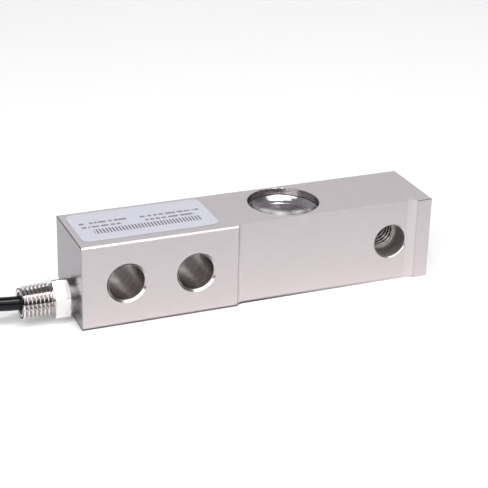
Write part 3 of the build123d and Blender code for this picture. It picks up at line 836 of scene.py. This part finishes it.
def make_world(scene):
    """A pale backdrop behind the object, a dim room in front of it, and plain white to the camera."""
    world = bpy.data.worlds.new("studio")
    scene.world = world
    world.use_nodes = True
    tree = world.node_tree
    tree.nodes.clear()
    direction = add(tree, "ShaderNodeTexCoord").outputs["Generated"]
    parts = add(tree, "ShaderNodeSeparateXYZ", in_0=direction).outputs
    backdrop = colour_ramp(tree, parts[2], BACKDROP)
    room = colour_ramp(tree, parts[2], ROOM)
    sky = mix(tree, map_range(tree, parts[1], *ROOM_EDGE), room, backdrop)
    around = add(tree, "ShaderNodeBackground", in_Color=sky, in_Strength=1.0)
    plain = add(tree, "ShaderNodeBackground", in_Color=(1.0, 1.0, 1.0, 1.0), in_Strength=1.0)
    seen = add(tree, "ShaderNodeLightPath").outputs["Is Camera Ray"]
    chosen = add(tree, "ShaderNodeMixShader", in_0=seen, in_1=around.outputs[0], in_2=plain.outputs[0])
    add(tree, "ShaderNodeOutputWorld", in_Surface=chosen.outputs[0])


def make_lamps(scene):
    power = settings().lamp_power
    for name, place, size, energy in SOFTBOXES:
        data = bpy.data.lights.new(name, "AREA")
        data.shape = "RECTANGLE"
        data.size, data.size_y = size
        data.energy = energy * power
        lamp = bpy.data.objects.new(name, data)
        lamp.location = place
        lamp.visible_camera = False
        aim = Vector(LAMP_AIM) - Vector(place)
        lamp.rotation_euler = aim.to_track_quat("-Z", "Y").to_euler()
        scene.collection.objects.link(lamp)


def make_camera(scene):
    data = bpy.data.cameras.new("view")
    data.sensor_width = SENSOR_WIDTH
    data.lens = FOCAL_LENGTH
    data.clip_start = 0.01
    camera = bpy.data.objects.new("view", data)
    camera.location = CAMERA_PLACE
    camera.rotation_euler = [math.radians(angle) for angle in CAMERA_TURN]
    scene.collection.objects.link(camera)
    scene.camera = camera


# Operators

class DressBeam(bpy.types.Operator):
    """Give the beam and its sealing cups their steel finishes, and the upper cup its drawn form"""

    bl_idname = "load_cell.dress_beam"
    bl_label = "Dress beam and cups"

    def execute(self, context):
        give("beam", beam_steel())
        cup = cup_steel()
        give("bottom_cup", cup)
        drawn = new_object("drawn_cup", cup_mesh(settings().column_count), cup)
        smooth(drawn, 50.0)
        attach(drawn, "root")
        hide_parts("top_cup")
        return {"FINISHED"}


class CutLoadThread(bpy.types.Operator):
    """Add the helical thread inside the load hole"""

    bl_idname = "load_cell.cut_load_thread"
    bl_label = "Cut load thread"

    def execute(self, context):
        thread = new_object("load_thread", load_thread_mesh(settings().column_count), thread_steel())
        smooth(thread)
        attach(thread, "root")
        return {"FINISHED"}


class DressGland(bpy.types.Operator):
    """Replace the gland's plain solid by one with a true helix, and finish its washer and grommet"""

    bl_idname = "load_cell.dress_gland"
    bl_label = "Dress gland"

    def execute(self, context):
        gland = new_object("gland_turned", gland_mesh(settings().column_count), gland_plate())
        smooth(gland, 32.0)
        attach(gland, "root")
        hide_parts("gland_body")
        give("gland_washer", metal("washer_metal", (0.40, 0.38, 0.38), (0.50, 0.48, 0.48), 0.3))
        rubber = plastic("grommet_rubber", (0.018, 0.018, 0.019), 0.6, variation=0.2, scale=1.5, depth=0.1)
        give("cable_grommet", rubber)
        return {"FINISHED"}


class DressLabel(bpy.types.Operator):
    """Finish the label film with plain bars in place of print"""

    bl_idname = "load_cell.dress_label"
    bl_label = "Dress label"

    def execute(self, context):
        give("label_film", label_film())
        return {"FINISHED"}


class DressInside(bpy.types.Operator):
    """Finish the gauges, boards, wires and potting inside the beam"""

    bl_idname = "load_cell.dress_inside"
    bl_label = "Dress inside pieces"

    def execute(self, context):
        on_both_sides = {
            "gauge_carrier": plastic("carrier_amber", (0.62, 0.33, 0.08), 0.3),
            "gauge_foil": metal("foil_metal", (0.58, 0.44, 0.28), (0.70, 0.56, 0.38), 0.3),
            "terminal_board": plastic("board_green", (0.06, 0.26, 0.13), 0.4),
            "jumper_wires": metal("jumper_copper", (0.60, 0.30, 0.16), (0.72, 0.40, 0.22), 0.25),
        }
        for piece, material in on_both_sides.items():
            for side in ("top", "bottom"):
                give(f"{piece}_{side}", material)
        give("link_wires", on_both_sides["jumper_wires"])
        resistor = plastic("resistor_dark", (0.05, 0.05, 0.055), 0.5)
        give("span_resistor", resistor)
        give("balance_resistor", resistor)
        give("potting_plug", plastic("potting_grey", (0.12, 0.12, 0.12), 0.6))
        for name, colour in CORE_COLOURS.items():
            material = plastic(f"core_{name}", colour, 0.35)
            give(f"core_{name}", material)
            give(f"stripped_{name}", material)
        return {"FINISHED"}


class LayCable(bpy.types.Operator):
    """Lay the free cable from the gland to its tied hank, with its stripped end"""

    bl_idname = "load_cell.lay_cable"
    bl_label = "Lay cable"

    def execute(self, context):
        chosen = settings()
        curve = cable_curve(chosen.cable_radius)
        curve.materials.append(plastic(
            "cable_black", (0.007, 0.007, 0.009), 0.11, variation=0.2, scale=0.6, depth=0.03, specular=0.22
        ))
        cable = bpy.data.objects.new("cable_line", curve)
        context.scene.collection.objects.link(cable)
        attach(cable, "root")
        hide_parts("cable", "cable_coil")
        give("coil_tie", plastic("tie_black", (0.02, 0.02, 0.02), 0.5))
        give("end_sleeve", plastic("sleeve_black", (0.015, 0.015, 0.015), 0.42))
        give("shield_drain", metal("drain_tinned", (0.50, 0.50, 0.50), (0.62, 0.62, 0.62), 0.3))
        carried = [NODES[name] for name in ("coil_tie", "end_sleeve", "shield_drain")]
        carried += [NODES[f"stripped_{name}"] for name in CORE_COLOURS]
        return {"FINISHED"}


class SetStage(bpy.types.Operator):
    """Set the pale floor, the soft lights and the camera"""

    bl_idname = "load_cell.set_stage"
    bl_label = "Set stage"

    def execute(self, context):
        scene = context.scene
        scene.view_settings.view_transform = "Standard"
        make_floor()
        make_world(scene)
        make_lamps(scene)
        make_camera(scene)
        return {"FINISHED"}


class LoadCellPanel(bpy.types.Panel):
    """Buttons for each step, with the sizes that they read"""

    bl_idname = "VIEW3D_PT_load_cell"
    bl_label = "Load Cell"
    bl_space_type = "VIEW_3D"
    bl_region_type = "UI"
    bl_category = "Load Cell"

    def draw(self, context):
        layout = self.layout
        chosen = context.scene.load_cell
        for name in LoadCellSettings.__annotations__:
            layout.prop(chosen, name)
        for operator in OPERATORS:
            layout.operator(operator.bl_idname)


OPERATORS = (DressBeam, CutLoadThread, DressGland, DressLabel, DressInside, LayCable, SetStage)
CLASSES = (LoadCellSettings, *OPERATORS, LoadCellPanel)


def register():
    for cls in CLASSES:
        bpy.utils.register_class(cls)
    bpy.types.Scene.load_cell = bpy.props.PointerProperty(type=LoadCellSettings)


def unregister():
    del bpy.types.Scene.load_cell
    for cls in reversed(CLASSES):
        bpy.utils.unregister_class(cls)


def plain(box):
    return [[float(value) for value in corner] for corner in box]


def main():
    register()
    bpy.ops.load_cell.dress_beam()
    bpy.ops.load_cell.cut_load_thread()
    bpy.ops.load_cell.dress_gland()
    bpy.ops.load_cell.dress_label()
    bpy.ops.load_cell.dress_inside()
    bpy.ops.load_cell.lay_cable()
    bpy.ops.load_cell.set_stage()


if __name__ == "__main__":
    main()
